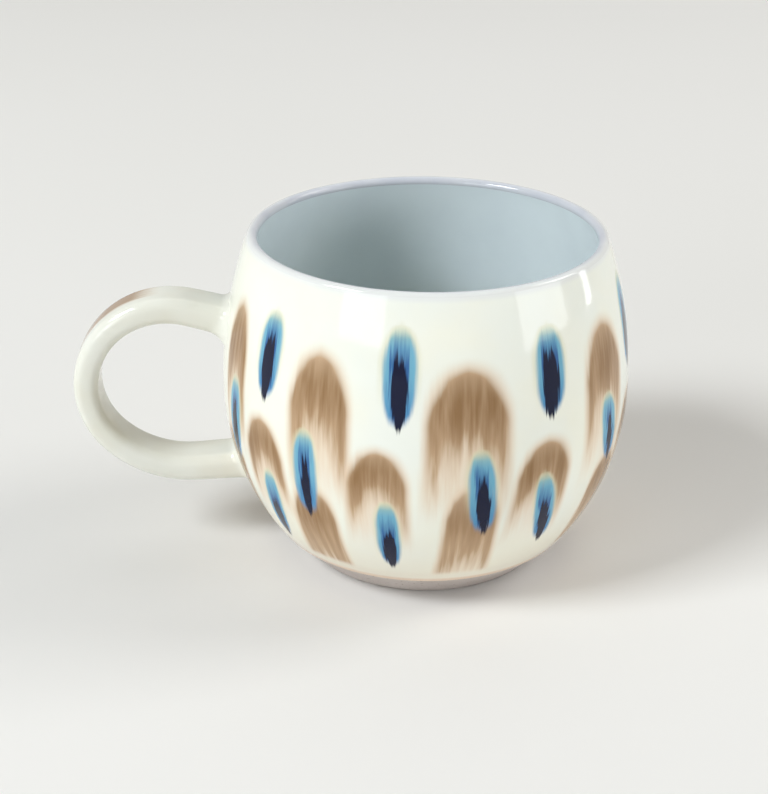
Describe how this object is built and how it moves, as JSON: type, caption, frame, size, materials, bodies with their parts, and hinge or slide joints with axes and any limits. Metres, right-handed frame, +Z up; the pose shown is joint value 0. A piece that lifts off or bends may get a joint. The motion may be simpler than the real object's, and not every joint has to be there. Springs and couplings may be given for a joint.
{
  "type": "stoneware mug",
  "caption": "Round-bellied glazed stoneware mug with a loop handle, rolled lip, bare bevelled foot and a folk peacock-eye pattern.",
  "frame": {"origin": "on the mug's axis, in the plane its foot ring stands on", "axes": "+Z up along the mug's axis, the handle points along -X, and +Y is to the right of someone looking along the handle towards the mug from behind it"},
  "size_m": [0.1364, 0.1, 0.0825],
  "materials": {
    "bare_clay": "bare fired stoneware, matt, faintly speckled, greyish lilac",
    "handle_clay": "bare fired stoneware under the glaze",
    "joint_slip": "fired luting slip, matt",
    "cream_glaze": "glossy cream glaze with taupe hoods and blue drops that have run downwards",
    "lip_glaze": "glossy glaze where the two coats overlap on the lip, pale lavender grey",
    "liner_glaze": "glossy pale blue-white liner glaze",
    "handle_glaze": "glossy cream glaze, thinner on the edges, with a taupe dab on the crest"
  },
  "bodies": {
    "root": {"stoneware_body": "bare_clay", "handle": "handle_clay", "upper_joint_slip": "joint_slip", "lower_joint_slip": "joint_slip", "body_glaze": "cream_glaze", "lip_glaze": "lip_glaze", "liner_glaze": "liner_glaze", "handle_glaze": "handle_glaze"}
  },
  "joints": []
}
